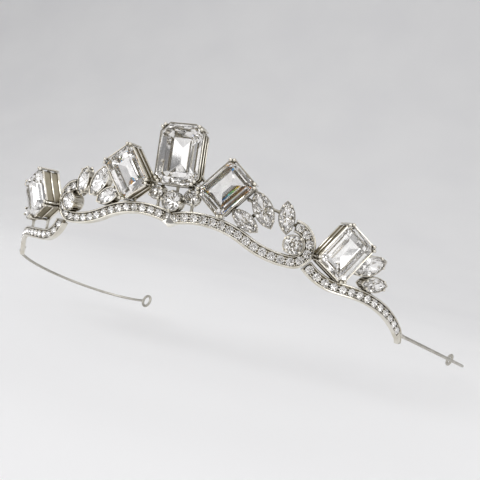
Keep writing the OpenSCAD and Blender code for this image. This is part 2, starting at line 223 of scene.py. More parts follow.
class Shape:
    """Points in millimetres, each with a mark, and faces, each with a material number."""

    def __init__(self):
        self.points = []
        self.faces = []
        self.slots = []
        self.smooth = []
        self.marks = []

    def add(self, points, faces, slot=0, smooth=True, matrix=None, marks=None):
        """Adds faces on points, placed by matrix; slot is one number or one for each face."""
        start = len(self.points)
        moved = [Vector(p) for p in points]
        if matrix is not None:
            moved = [matrix @ p for p in moved]
        self.points += moved
        self.marks += marks or [(0.0, 0.0, 0.0)] * len(moved)
        self.faces += [[start + i for i in face] for face in faces]
        self.slots += slot if isinstance(slot, list) else [slot] * len(faces)
        self.smooth += [smooth] * len(faces)

    def make(self, name, materials, body, nodes=(), crease=35.0):
        """The finished piece: closed shells that face outwards, sharp past the crease angle.

        Without a body the piece is attached to nothing.
        """
        mesh = bpy.data.meshes.new(name)
        mesh.from_pydata([p * MM for p in self.points], [], self.faces)
        for polygon, number, smooth in zip(mesh.polygons, self.slots, self.smooth):
            polygon.material_index = number
            polygon.use_smooth = smooth
        cut = mesh.attributes.new("cut", "FLOAT_VECTOR", "POINT")
        cut.data.foreach_set("vector", [value for mark in self.marks for value in mark])
        shells = bmesh.new()
        shells.from_mesh(mesh)
        bmesh.ops.remove_doubles(shells, verts=shells.verts, dist=WELD)
        bmesh.ops.recalc_face_normals(shells, faces=shells.faces)
        shells.to_mesh(mesh)
        shells.free()
        if any(self.smooth):
            mesh.set_sharp_from_angle(angle=math.radians(crease))
        for material in materials:
            mesh.materials.append(material)
        piece = bpy.data.objects.new(name, mesh)
        bpy.context.scene.collection.objects.link(piece)
        if body:
            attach(piece, body)
        if nodes:
            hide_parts(*nodes)
        return piece


def strip(m, n):
    """Quads between m rings of n points."""
    return [[k * n + i, k * n + (i + 1) % n, (k + 1) * n + (i + 1) % n, (k + 1) * n + i]
            for k in range(m - 1) for i in range(n)]


def add_tube(shape, line, radii, sides, matrix=None):
    """A round bar along line, with rounded ends."""
    line = [Vector(p) for p in line]
    first = (line[1] - line[0]).normalized()
    last = (line[-1] - line[-2]).normalized()
    rounding = (80, 50, 22)
    head = [(line[0] - first * radii[0] * sin(a), radii[0] * cos(a)) for a in rounding]
    tail = [(line[-1] + last * radii[-1] * sin(a), radii[-1] * cos(a)) for a in reversed(rounding)]
    spine = [*head, *zip(line, radii), *tail]
    side = first.orthogonal().normalized()
    points = []
    for k, (p, r) in enumerate(spine):
        before = spine[max(k - 1, 0)][0]
        after = spine[min(k + 1, len(spine) - 1)][0]
        heading = (after - before).normalized()
        side = (side - heading * side.dot(heading)).normalized()
        other = heading.cross(side)
        points += [p + side * r * cos(360 * i / sides) + other * r * sin(360 * i / sides)
                   for i in range(sides)]
    rings = len(spine)
    faces = strip(rings, sides)
    faces += [list(range(sides)), [(rings - 1) * sides + i for i in range(sides)]]
    shape.add(points, faces, matrix=matrix)


def add_ball(shape, centre, r, squash, sides, matrix=None):
    """A round grain, flattened along its own Z by squash."""
    rings = 6
    centre = Vector(centre)
    points = [centre + Vector((0, 0, r * squash))]
    for k in range(1, rings):
        a = 180 * k / rings
        points += [centre + r * Vector((sin(a) * cos(360 * i / sides), sin(a) * sin(360 * i / sides),
                                        squash * cos(a))) for i in range(sides)]
    points.append(centre - Vector((0, 0, r * squash)))
    bottom = len(points) - 1
    lowest = bottom - sides
    faces = [[0, 1 + i, 1 + (i + 1) % sides] for i in range(sides)]
    faces += [[1 + i for i in face] for face in strip(rings - 1, sides)]
    faces += [[bottom, lowest + i, lowest + (i + 1) % sides] for i in range(sides)]
    shape.add(points, faces, matrix=matrix)


# ---- outlines ----

# A cut corner never gets smaller than this
LEAST_CORNER = 0.02


def octagon(l, w, c):
    """A rectangle l by w with its corners cut off by c."""
    a, b = l / 2, w / 2
    return [(a, -b + c), (a, b - c), (a - c, b), (-a + c, b),
            (-a, b - c), (-a, -b + c), (-a + c, -b), (a - c, -b)]


def octagon_in(l, w, c, t):
    """The same octagon with every side moved in by t."""
    return octagon(l - 2 * t, w - 2 * t, max(c - t * (2 - math.sqrt(2)), LEAST_CORNER))


def lens_point(l, w, t):
    """A point of the navette outline, t going round once from the right-hand tip."""
    r = (l * l + w * w) / (4 * w)
    a = math.asin(l / 2 / r)
    turn = -a + 2 * a * ((2 * t) % 1.0)
    x, y = -r * math.sin(turn), r * math.cos(turn) - r + w / 2
    return (x, y) if t % 1.0 < 0.5 else (-x, -y)


def round_point(l, w, t):
    return (l / 2 * math.cos(2 * math.pi * t), w / 2 * math.sin(2 * math.pi * t))


def lift(outline, z):
    return [(x, y, z) for x, y in outline]


# ---- stones ----

# The material numbers of a stone; the last is foil with a painted dispersion flash
CRYSTAL, FOIL, LACQUER, PAINTED_FLASH = 0, 1, 2, 3
# A step stone's steps as (inset in half widths, height in widths), from the table down
STEP_CROWN = [(0.30, 0.17), (0.14, 0.10), (0.0, 0.0)]
STEP_PAVILION = [(0.0, -0.035), (0.30, -0.19), (0.58, -0.28)]
KEEL_DEPTH = -0.345
# How far a step stone spreads over its basket's rim
OVER_RIM = 0.3
# The lacquer's inner and outer face behind the foil
COAT = (0.02, 0.08)


def add_step_stone(shape, place, corner, painted_flash=None):
    """A step-cut stone: flat table and crown steps in crystal, pavilion steps to a keel in foil, the given
    facet with a painted dispersion flash.
    """
    l, w, matrix = place["l"] + OVER_RIM, place["w"] + OVER_RIM, place["matrix"]

    def rings(steps):
        return [p for t, z in steps for p in lift(octagon_in(l, w, corner, t * w / 2), z * w)]

    def marks(points):
        return [(0.5 + p[0] / l, 0.5 + p[1] / w, 0.0) for p in points]

    crown = rings(STEP_CROWN + STEP_PAVILION[:1])
    faces = strip(len(STEP_CROWN) + 1, 8) + [list(range(8))]
    shape.add(crown, faces, CRYSTAL, False, matrix, marks(crown))
    half_keel = (l - w) / 2
    points = rings(STEP_PAVILION) + [(half_keel, 0, KEEL_DEPTH * w), (-half_keel, 0, KEEL_DEPTH * w)]
    last = len(points) - 10
    right, left = len(points) - 2, len(points) - 1
    faces = strip(len(STEP_PAVILION), 8)
    faces += [[last, last + 1, right], [last + 1, last + 2, right], [last + 7, last, right],
              [last + 2, last + 3, left, right], [last + 3, last + 4, left],
              [last + 4, last + 5, left], [last + 5, last + 6, left], [last + 6, last + 7, right, left]]
    # The chosen facet gets foil with a painted dispersion flash
    kinds = [PAINTED_FLASH if n == painted_flash else FOIL for n in range(len(faces))]
    shape.add(points, faces, kinds, False, matrix, marks(points))
    add_backing(shape, points, faces, 8, matrix)


def add_backing(shape, points, faces, rim, matrix):
    """The coloured lacquer behind the foil: a thin closed coat whose first rim points are its edge."""
    n = len(points)
    inner, outer = [[(x, y, z - depth) for x, y, z in points] for depth in COAT]
    coat = faces + [[n + i for i in face] for face in faces]
    coat += [[i, (i + 1) % rim, n + (i + 1) % rim, n + i] for i in range(rim)]
    shape.add(inner + outer, coat, LACQUER, False, matrix)


def add_brilliant(shape, place, outline, table=0.52, crown=0.17, pavilion=0.34):
    """A brilliant-cut stone on any outline: table, stars, kites and girdle facets, then a foiled back."""
    l, w, matrix = place["l"], place["w"], place["matrix"]

    def ring(n, scale, z, offset=0.0):
        return [(*outline(l * scale, w * scale, (k + offset) / n), z * w) for k in range(n)]

    tables = ring(8, table, crown)
    stars = ring(8, 0.5 + table / 2, crown * 0.62, 0.5)
    upper = ring(16, 1.0, 0.0)
    lower = ring(16, 1.0, -0.03)
    mids = ring(8, 0.52, -pavilion * 0.62, 0.5)
    faces = [list(range(8))]
    for k in range(8):
        before = 8 + (k - 1) % 8
        star, g0, g1, g2 = 8 + k, 16 + 2 * k, 17 + 2 * k, 16 + (2 * k + 2) % 16
        faces += [[k, star, (k + 1) % 8], [k, before, g0], [k, g0, star], [star, g0, g1], [star, g1, g2]]
    faces += [[16 + i for i in face] for face in strip(2, 16)]
    shape.add(tables + stars + upper + lower, faces, CRYSTAL, False, matrix)
    points = lower + mids + [(0, 0, -pavilion * w)]
    culet = len(points) - 1
    faces = []
    for k in range(8):
        g0, g1, g2 = 2 * k, 2 * k + 1, (2 * k + 2) % 16
        here, before = 16 + k, 16 + (k - 1) % 8
        faces += [[g1, g0, here], [g2, g1, here], [here, g0, culet], [g0, before, culet]]
    shape.add(points, faces, FOIL, False, matrix)
    add_backing(shape, points, faces, 16, matrix)


# ---- settings ----

# The rim's height above the girdle, and the walls' thickness
RIM = 0.25
WALL = 0.5
CUP_WALL = 0.3
# A basket's rails as (thickness, height): under the rim, half way back, and behind the stone
RIM_RAIL = (0.46, 0.7)
MIDDLE_RAIL = (0.46, 0.48)
BACK_RAIL = (1.3, 0.8)
RAIL_SOFTENING = 0.1
# The thin wall behind the rails: its two faces' insets, and how far it runs behind the rails
RECESS = (0.44, 0.50)
RECESS_LAP = 0.4
# A cup's back flange, the groove round its waist, and the ribs that stand in the groove
FLANGE_W = 0.95
GROOVE = 0.2
RIBS = 14
RIB_R = 0.13
# Claws: how far out a basket's pairs stand and how far apart, their heights, and their sizes
CLAW_OUT = 0.5
CLAW_APART = 1.15
CLAW_FOOT = 0.3
CLAW_LEAN = 0.3
BASKET_CLAW = {"r": 0.36, "height": 0.75, "ball": 0.6}
CUP_CLAW = {"r": 0.28, "height": 0.6, "ball": 0.49}


def rail_profile(t, low, high):
    """A rail of thickness t with softened edges, as (inset, height) going round."""
    b = RAIL_SOFTENING
    return [(b, high), (t - b, high), (t, high - b), (t, low + b),
            (t - b, low), (b, low), (0, low + b), (0, high - b)]


def add_frame(shape, outline, profile, matrix, slot=0):
    """A closed frame: the profile swept round an outline that takes an inset."""
    rings = [lift(outline(t), z) for t, z in profile]
    n = len(rings[0])
    m = len(rings)
    points = [p for r in rings for p in r]
    faces = [[k * n + i, k * n + (i + 1) % n, (k + 1) % m * n + (i + 1) % n, (k + 1) % m * n + i]
             for k in range(m) for i in range(n)]
    shape.add(points, faces, slot, matrix=matrix)


def add_claw(shape, foot, outward, base, claw, matrix):
    """A wire claw that stands at foot and bends over the rim towards the stone, with a ball tip."""
    lean = -Vector((outward[0], outward[1], 0)).normalized() * CLAW_LEAN
    r, height = claw["r"], claw["height"]
    # Each level: its height, its share of the wire's full radius, and its share of the lean
    levels = [(base + CLAW_FOOT, 0.85, 0.0), (RIM - 0.2, 0.85, 0.0),
              (RIM + height * 0.45, 0.9, 0.4), (RIM + height * 0.7, 1.0, 1.0)]
    line = [Vector((foot[0], foot[1], z)) + lean * share for z, thickness, share in levels]
    radii = [r * thickness for z, thickness, share in levels]
    add_tube(shape, line, radii, 10, matrix)
    add_ball(shape, line[-1], claw["ball"], 0.9, 10, matrix)


def add_step_setting(shape, place, corner, base):
    """A claw basket: three rails, a recessed wall in darker metal that paints the shade between the rails,
    and a pair of claws at each cut corner.
    """
    l, w, matrix = place["l"] + 2 * WALL, place["w"] + 2 * WALL, place["matrix"]
    c = corner + WALL * (2 - math.sqrt(2))

    def outline(t):
        return octagon_in(l, w, c, t)

    middle = (base + RIM + MIDDLE_RAIL[1]) / 2
    for rail, high in ((RIM_RAIL, RIM), (MIDDLE_RAIL, middle), (BACK_RAIL, base + BACK_RAIL[1])):
        add_frame(shape, outline, rail_profile(rail[0], high - rail[1], high), matrix)
    near, far = RECESS
    high, low = RIM - RECESS_LAP, base + RECESS_LAP
    # The recessed wall takes the second material: darker metal as painted shade between the rails
    add_frame(shape, outline, [(near, high), (far, high), (far, low), (near, low)], matrix, 1)
    corners = outline(-CLAW_OUT)
    for k in range(1, 8, 2):
        a, b = Vector(corners[k]), Vector(corners[(k + 1) % 8])
        centre, edge = (a + b) / 2, (b - a).normalized()
        for offset in (-CLAW_APART / 2, CLAW_APART / 2):
            add_claw(shape, centre + edge * offset, centre, base, BASKET_CLAW, matrix)


def add_cup(shape, place, outline, base, claws):
    """A thin ribbed cup round a stone, open at the back, with claws at the given turns of its outline."""
    l, w, matrix = place["l"], place["w"], place["matrix"]
    wall = CUP_WALL
    tip_wall = 2 * wall if outline is lens_point else wall
    steps = 48

    def ring(t):
        return [outline(l + 2 * tip_wall * (1 - t / wall), w + 2 * (wall - t), k / steps)
                for k in range(steps)]

    # Round the section: over the rim, down inside, round the back flange, and up past the groove
    section = [(0.06, RIM), (wall - 0.06, RIM), (wall - 0.01, RIM - 0.06), (wall - 0.01, base + 0.6),
               (FLANGE_W, base + 0.5), (FLANGE_W, base), (0.06, base), (0.0, base + 0.1),
               (0.0, base + 0.5), (GROOVE, base + 0.62), (GROOVE, RIM - 0.72), (0.0, RIM - 0.6),
               (0.0, RIM - 0.08)]
    add_frame(shape, ring, section, matrix)
    for k in range(RIBS):
        x, y = outline(l + 2 * tip_wall - GROOVE, w + 2 * wall - GROOVE, (k + 0.5) / RIBS)
        add_tube(shape, [(x, y, base + 0.4), (x, y, RIM - 0.45)], [RIB_R, RIB_R], 8, matrix)
    for t in claws:
        foot = outline(l + 2.4 * wall, w + 2.4 * wall, t)
        after, before = outline(l, w, t + 0.01), outline(l, w, t - 0.01)
        outward = (after[1] - before[1], before[0] - after[0])
        add_claw(shape, foot, outward, base, CUP_CLAW, matrix)


# ---- bands ----

HALF = BAND_W / 2
LIP = HALF - RAIL_W
FLOOR_OUT = -BAND_FACE - CHANNEL_DEPTH
# The softening of the rails' edges, and of the back's
RAIL_EDGE = 0.16
BACK_EDGE = 0.25
# The lower rail is wider inwards by this much
LOWER_EXTRA = 0.2
# Towards its tail the outer band's back comes forward by this much, and the tail narrows
THIN_TAIL = 1.0
TAIL_NARROWING = 0.45
# Rings start this far from the mitre
MITRE_GAP = 0.05
# Points of the section further back than this belong to its back
BACK_ZONE = -3.5
# Where pave stones sit behind the band's face, and their proportions
PAVE_SEAT = 0.25
PAVE_CUT = {"table": 0.5, "crown": 0.19, "pavilion": 0.36}


def band_section():
    """The band's section as (across, out): softened rails, a channel, and a rounded back."""
    b = RAIL_EDGE
    face = -BAND_FACE
    rail = [(HALF, face - b), (HALF - b * 0.35, face - b * 0.35), (HALF - b, face),
            (LIP + b, face), (LIP + b * 0.35, face - b * 0.35), (LIP, face - b)]
    upper = [(HALF - BACK_EDGE, -BACK_DEPTH), (HALF, -BACK_DEPTH + BACK_EDGE), *rail, (LIP, FLOOR_OUT)]
    inward = [LOWER_EXTRA if a < HALF - 2 * RAIL_EDGE else 0 for a, out in upper]
    lower = [(extra - a, out) for (a, out), extra in zip(upper, inward)]
    return upper + lower[::-1]


def band_ring(p, section, taper=1.0, thin=0.0):
    """The section at a point of the line, narrowed by taper, its back moved forward by thin."""
    s, z, h = p
    return [on_wall(s - a * taper * sin(h), z + a * taper * cos(h), out + (thin if out < BACK_ZONE else 0))
            for a, out in section]


def add_band(shape, rings, matrix):
    """Skins the rings of a band's section and closes both ends."""
    n = len(rings[0])
    last = (len(rings) - 1) * n
    points = [p for r in rings for p in r]
    caps = [[i, i + 1, n - 2 - i, n - 1 - i] for i in range(n // 2 - 1)]
    faces = strip(len(rings), n) + caps + [[last + i for i in face] for face in caps]
    shape.add(points, faces, matrix=matrix)


def mirror_for(side):
    return Matrix.Diagonal((SIDES[side], 1, 1, 1))


def pave_matrix(p):
    """Places a stone, drawn with its front towards +Z, in the channel at a point of the band's line."""
    s, z, h = p
    out = Matrix.Rotation(math.radians(plan_turn(s)), 4, "Z") @ Matrix.Rotation(math.radians(90), 4, "X")
    turn = Matrix.Rotation(math.radians(h), 4, "Z")
    return Matrix.Translation(on_wall(s, z, -BAND_FACE - PAVE_SEAT)) @ out @ turn


def inner_rings(start, line, section):
    """The inner band's rings, from the mitre that it shares with the other side's."""
    mitre = [on_wall(0, start[1] + a / cos(start[2]), out) for a, out in section]
    clear = [p for p in line if p[0] > HALF * sin(start[2]) + MITRE_GAP]
    return [mitre] + [band_ring(p, section) for p in clear]


def outer_rings(line, section):
    """The outer band's rings, and its tail, whose channel is filled."""
    tail = walk(line[-1], TAIL_ARCS, 0.4)[1:]
    filled = [(a, -BAND_FACE - RAIL_EDGE if out == FLOOR_OUT else out) for a, out in section]
    thin = [THIN_TAIL * min(1.0, i / len(line) * 1.6) for i in range(len(line))]
    rings = [band_ring(p, section, 1.0, t) for p, t in zip(line, thin)]
    return rings + [band_ring(p, filled, 1 - TAIL_NARROWING * (i + 1) / len(tail), THIN_TAIL)
                    for i, p in enumerate(tail)]


def make_band(row, side, metal):
    start, arcs = ROWS[row, side][:2]
    line = walk(start, arcs, 0.5)
    section = band_section()
    rings = inner_rings(start, line, section) if row == "inner" else outer_rings(line, section)
    shape = Shape()
    add_band(shape, rings, mirror_for(side))
    shape.make(f"{row}_{side}_channel", [metal], "frame", [f"{row}_{side}_band"])


def make_pave(row, side, stone_look, metal):
    """A row of stones in its channel, with four grains and a post between each two."""
    start, arcs, count, pitch = ROWS[row, side]
    stones = Shape()
    grains = Shape()
    flip = mirror_for(side)
    for k in range(count):
        here = pave_matrix(along(start, arcs, FIRST_STONE + k * pitch))
        matrix = flip @ here @ Matrix.Rotation(random.uniform(0, 0.8), 4, "Z")
        add_brilliant(stones, {"l": PAVE_D, "w": PAVE_D, "matrix": matrix}, round_point, **PAVE_CUT)
    for k in range(count - 1):
        between = flip @ pave_matrix(along(start, arcs, FIRST_STONE + (k + 0.5) * pitch))
        for x in (-0.3, 0.3):
            for y in (-0.86, 0.86):
                add_ball(grains, (x, y, 0.12), 0.3, 0.9, 8, between)
        add_ball(grains, (0, 0, -0.25), 0.42, 0.8, 8, between)
    stones.make(f"{row}_{side}_pave_stones", stone_look, "frame", [f"{row}_{side}_pave"])
    grains.make(f"{row}_{side}_grains", [metal], "frame", ())


WEDGE_HALF_W = 2.6
# The wedge's rings from its front to its back, as (out, share of the way to the middle, ridge height)
WEDGE_RINGS = [(-BAND_FACE + 0.10, 0.30, 0.45), (-BAND_FACE + 0.04, 0.08, 0.45),
               (-BAND_FACE - 0.12, 0.0, 0.35), (-BACK_DEPTH, 0.0, 0.0)]


def make_v_point(metal):
    """The polished wedge that fills the V between the first stones, ridged down to its tip."""
    slope = math.tan(math.radians(INNER_START[2]))
    foot = HALF / cos(INNER_START[2])
    under = V_HEIGHT - foot
    right = [(WEDGE_HALF_W, under + WEDGE_HALF_W * slope), (1.9, under + 1.9 * slope + 0.8),
             (0.55, V_HEIGHT + 0.4), (0.25, V_HEIGHT + foot - 0.1)]
    outline = [(0.0, 0.0)] + right + [(-x, z) for x, z in reversed(right)]
    centre = Vector((0.0, V_HEIGHT))
    points = []
    for out, inset, ridge in WEDGE_RINGS:
        flat = [Vector(q).lerp(centre, inset) for q in outline]
        points += [on_wall(p.x, p.y, out + ridge * (1 - abs(p.x) / WEDGE_HALF_W)) for p in flat]
    n = len(outline)
    back = len(points) - n
    faces = strip(len(WEDGE_RINGS), n) + [list(range(n)), [back + i for i in range(n)]]
    shape = Shape()
    shape.add(points, faces)
    shape.make("v_point_wedge", [metal], "frame", ["v_point"], crease=25.0)


# ---- solder ----

def islands(node):
    """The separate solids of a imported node, each as its own points."""
    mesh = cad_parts[node].data
    parent = list(range(len(mesh.vertices)))

    def root(i):
        while parent[i] != i:
            parent[i] = parent[parent[i]]
            i = parent[i]
        return i

    keys = {}
    for v in mesh.vertices:
        key = tuple(round(c / MM, 3) for c in v.co)
        parent[v.index] = root(keys.setdefault(key, v.index))
    for e in mesh.edges:
        parent[root(e.vertices[0])] = root(e.vertices[1])
    groups = {}
    for v in mesh.vertices:
        groups.setdefault(root(v.index), []).append(np.array(v.co) / MM)
    return [np.array(g) for g in groups.values()]


# The radius of a solder run from end to end, and how far its ends stay inside the bar's
RUN_RADII = [0.62, 0.56, 0.5, 0.47, 0.5, 0.56, 0.62]
RUN_END = 0.3
# A run that would be shorter than this is made RUN_END long
SHORTEST_RUN = 0.2


def make_solder(node, solder):
    """Each bar becomes a run of solder that swells where it wets the metal at its ends."""
    shape = Shape()
    steps = len(RUN_RADII) - 1
    for bar in islands(node):
        centre = (bar.min(0) + bar.max(0)) / 2
        axis = np.linalg.svd(bar - bar.mean(0))[2][0]
        reach = (bar - centre) @ axis
        a = Vector(centre + axis * (reach.min() + RUN_END))
        b = Vector(centre + axis * (reach.max() - RUN_END))
        if (b - a).length < SHORTEST_RUN:
            a, b = Vector(centre - axis * RUN_END / 2), Vector(centre + axis * RUN_END / 2)
        add_tube(shape, [a.lerp(b, k / steps) for k in range(steps + 1)], RUN_RADII, 14)
    shape.make(f"{node}_runs", [solder], "frame", [node])


# ---- wire arms ----

# The share of a full turn that the eyelet's wire goes round
EYE_TURN = 0.985
# The solder blob's radii, from inside the band's tail to a little way along the wire
BLOB_RADII = [0.8, 0.85, 0.78, 0.63]


def arm_frame(side):
    """The arm's own axes: X and Y in the plane that its wire is bent in, from its root."""
    back_fall, side_fall = ARMS[side][0]
    y = Vector((0, 1, -back_fall)).normalized()
    across = Vector((1, 0, -side_fall))
    x = (across - y * across.dot(y)).normalized()
    z = x.cross(y)
    root = on_wall(*ARM_ROOT)
    matrix = Matrix([[x[i], y[i], z[i], root[i]] for i in range(3)] + [[0, 0, 0, 1]])
    return mirror_for(side) @ matrix


def make_wire(side, points, heading, matrix, satin):
    """One length of wire, its end bent round into the eyelet."""
    eye = points[-1] + heading * (EYE_R + WIRE_R)
    ring = [eye - heading * EYE_R * math.cos(a) + Vector((0, 0, EYE_R * math.sin(a)))
            for a in np.linspace(0.0, 2 * math.pi * EYE_TURN, 60)]
    shape = Shape()
    add_tube(shape, points + ring, [WIRE_R] * (len(points) + len(ring)), 14, matrix)
    wire = shape.make(f"{side}_arm_bent_wire", [satin], None,
                      [f"{side}_arm_wire", f"{side}_arm_eyelet"], crease=60.0)
    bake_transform(wire)


def make_arm(side, satin, solder):
    matrix = arm_frame(side)
    line = walk((0, 0, 90 - ARM_HEADING), ARMS[side][1], 0.8)
    points = [Vector((x, y, 0)) for x, y, h in line]
    last = line[-1][2]
    make_wire(side, points, Vector((cos(last), sin(last), 0)), matrix, satin)
    start, arcs = ROWS["outer", side][:2]
    tail = arc_end(walk(start, arcs, 0.5)[-1], TAIL_ARCS[0], 0.2)
    anchor = mirror_for(side) @ on_wall(tail[0] + 1.1, tail[1] + 0.3, ARM_ROOT[2])
    root = matrix.translation
    blob = Shape()
    run = [anchor, anchor.lerp(root, 0.5), root, root.lerp(matrix @ points[2], 0.9)]
    add_tube(blob, run, BLOB_RADII, 14)
    blob.make(f"{side}_arm_solder", [solder], "frame", ())


# ---- materials ----

def node_material(name):
    material = bpy.data.materials.new(name)
    material.use_nodes = True
    tree = material.node_tree
    shader = tree.nodes["Principled BSDF"]
    return material, tree, shader


def add_node(tree, kind, **values):
    node = tree.nodes.new(kind)
    for key, value in values.items():
        if key in node.inputs:
            node.inputs[key].default_value = value
        else:
            setattr(node, key, value)
    return node


def noise(tree, scale, detail):
    coords = add_node(tree, "ShaderNodeTexCoord")
    texture = add_node(tree, "ShaderNodeTexNoise", Scale=scale, Detail=detail)
    tree.links.new(coords.outputs["Object"], texture.inputs["Vector"])
    return texture.outputs["Fac"]


def spread_between(tree, source, low, high, start=0.3, end=0.7):
    """Values from low to high as the source goes from start to end."""
    node = add_node(tree, "ShaderNodeMapRange")
    node.inputs["To Min"].default_value = low
    node.inputs["To Max"].default_value = high
    node.inputs["From Min"].default_value = start
    node.inputs["From Max"].default_value = end
    tree.links.new(source, node.inputs["Value"])
    return node.outputs["Result"]


def colour_stops(tree, source, stops, interpolation="LINEAR"):
    """A colour ramp with the given (place, colour) stops."""
    ramp = add_node(tree, "ShaderNodeValToRGB")
    ramp.color_ramp.interpolation = interpolation
    elements = ramp.color_ramp.elements
    for at, colour in stops[1:-1]:
        elements.new(at)
    for element, (at, colour) in zip(elements, stops):
        element.position = at
        element.color = (*colour, 1)
    tree.links.new(source, ramp.inputs["Fac"])
    return ramp.outputs["Color"]


def tint(tree, source, first, second):
    return colour_stops(tree, source, [(0.35, first), (0.7, second)])


# The colour sockets of a Mix node
MIX_A, MIX_B, MIX_OUT = 6, 7, 2


def mix_colours(tree, share, first, second):
    """The first colour where share is 0 and the second where it is 1; each a socket or a plain colour."""
    node = add_node(tree, "ShaderNodeMix", data_type="RGBA")
    tree.links.new(share, node.inputs[0])
    for number, colour in ((MIX_A, first), (MIX_B, second)):
        if isinstance(colour, tuple):
            node.inputs[number].default_value = (*colour, 1)
        else:
            tree.links.new(colour, node.inputs[number])
    return node.outputs[MIX_OUT]


# The height of the finest relief, in metres
GRAIN_HEIGHT = 0.00004
# The colour of the painted shade in crevices, and how near, in metres, another surface makes one
PAINTED_SHADE = (0.20, 0.17, 0.11)
PAINTED_SHADE_REACH = 0.002


def bump(tree, shader, source, strength):
    node = add_node(tree, "ShaderNodeBump", Strength=strength, Distance=GRAIN_HEIGHT)
    tree.links.new(source, node.inputs["Height"])
    tree.links.new(node.outputs["Normal"], shader.inputs["Normal"])


def painted_shade_tint(tree, colour, shade_colour):
    """Paints shade into a colour: darker and warmer in crevices, where ambient occlusion finds other
    surfaces near.
    """
    shade = add_node(tree, "ShaderNodeAmbientOcclusion", Distance=PAINTED_SHADE_REACH)
    shade.samples = 6
    openness = spread_between(tree, shade.outputs["AO"], 0.0, 1.0, 0.35, 0.92)
    return mix_colours(tree, openness, shade_colour, colour)


def metal_material(name, first, second, rough, grain, strength, shade_colour=PAINTED_SHADE):
    """Plated or drawn metal: patchy colour, painted shade in crevices, and a fine grain in gloss and
    relief.
    """
    material, tree, shader = node_material(name)
    shader.inputs["Metallic"].default_value = 1.0
    patches = noise(tree, 260.0, 5.0)
    # The patchy tones get painted shade wherever ambient occlusion finds a crevice
    colour = painted_shade_tint(tree, tint(tree, patches, first, second), shade_colour)
    tree.links.new(colour, shader.inputs["Base Color"])
    fine = noise(tree, grain, 6.0)
    tree.links.new(spread_between(tree, fine, *rough), shader.inputs["Roughness"])
    bump(tree, shader, fine, strength)
    return material


def crystal_material():
    material, tree, shader = node_material("crystal")
    shader.inputs["Base Color"].default_value = (0.98, 0.975, 0.965, 1)
    shader.inputs["IOR"].default_value = 1.58
    shader.inputs["Transmission Weight"].default_value = 1.0
    haze = noise(tree, 900.0, 5.0)
    tree.links.new(spread_between(tree, haze, 0.0, 0.025), shader.inputs["Roughness"])
    return material


def foil_material():
    material, tree, shader = node_material("silver_foil")
    shader.inputs["Metallic"].default_value = 1.0
    patches = noise(tree, 420.0, 3.0)
    colour = tint(tree, patches, (0.94, 0.935, 0.93), (0.82, 0.815, 0.81))
    tree.links.new(colour, shader.inputs["Base Color"])
    fine = noise(tree, 2500.0, 4.0)
    tree.links.new(spread_between(tree, fine, 0.02, 0.08), shader.inputs["Roughness"])
    return material


# The painted dispersion flash's colours along the stone, as (place, colour)
PAINTED_SPECTRUM = [(0.10, (0.10, 0.12, 0.75)), (0.34, (0.08, 0.55, 0.90)), (0.48, (0.20, 0.85, 0.25)),
            (0.60, (0.98, 0.90, 0.10)), (0.74, (0.98, 0.40, 0.05)), (0.90, (0.70, 0.08, 0.04))]
WHITE_FOIL = (0.92, 0.915, 0.91)
BROWN_FOIL = (0.34, 0.22, 0.12)
# Across the stone from its edge: the painted flash, then a brown band, then plain foil
PAINTED_FLASH_EDGE = 0.195
BROWN_EDGE = 0.265


def painted_flash_material():
    """Foil with a painted dispersion flash: a spectrum painted along the facet's outer edge."""
    material, tree, shader = node_material("painted_flash_foil")
    shader.inputs["Metallic"].default_value = 1.0
    place = add_node(tree, "ShaderNodeAttribute", attribute_name="cut")
    split = add_node(tree, "ShaderNodeSeparateXYZ")
    tree.links.new(place.outputs["Vector"], split.inputs["Vector"])
    along_stone, across_stone = split.outputs["X"], split.outputs["Y"]
    spectrum = colour_stops(tree, along_stone, PAINTED_SPECTRUM)
    edges = [(0.0, (0, 0, 0)), (PAINTED_FLASH_EDGE, (1, 1, 1)), (1.0, (1, 1, 1))]
    beyond = colour_stops(tree, across_stone, edges, "CONSTANT")
    plain = colour_stops(tree, across_stone, [(0.0, BROWN_FOIL), (BROWN_EDGE, WHITE_FOIL)], "CONSTANT")
    tree.links.new(mix_colours(tree, beyond, spectrum, plain), shader.inputs["Base Color"])
    fine = noise(tree, 2500.0, 4.0)
    tree.links.new(spread_between(tree, fine, 0.03, 0.09), shader.inputs["Roughness"])
    return material


def lacquer_material():
    material, tree, shader = node_material("back_lacquer")
    shader.inputs["Metallic"].default_value = 0.7
    patches = noise(tree, 500.0, 4.0)
    tree.links.new(tint(tree, patches, (0.33, 0.28, 0.17), (0.22, 0.19, 0.12)), shader.inputs["Base Color"])
    fine = noise(tree, 1800.0, 5.0)
    tree.links.new(spread_between(tree, fine, 0.25, 0.45), shader.inputs["Roughness"])
    bump(tree, shader, fine, 0.3)
    return material


# ---- the tiara ----

# Each metal: its two tones, its roughness range, its grain's scale and its relief's strength
PLATED = ("plated_metal", (0.80, 0.77, 0.70), (0.64, 0.60, 0.51), (0.10, 0.24), 2200.0, 0.25)
POLISHED = ("polished_metal", (0.88, 0.86, 0.81), (0.78, 0.75, 0.68), (0.05, 0.14), 2200.0, 0.12)
# The recessed wall's darker, duller metal is painted shade between the rails
SHADED_WALL_METAL = ("painted_shade_wall", (0.42, 0.38, 0.29), (0.30, 0.27, 0.20), (0.28, 0.46), 1500.0, 0.5)
SATIN = ("satin_wire", (0.56, 0.54, 0.49), (0.45, 0.43, 0.38), (0.30, 0.45), 1800.0, 0.35)
SOLDER = ("solder", (0.74, 0.72, 0.67), (0.58, 0.56, 0.50), (0.22, 0.42), 1500.0, 0.6)
# A lighter painted shade for the crevices of the polished metal
LIGHT_PAINTED_SHADE = (0.50, 0.46, 0.38)

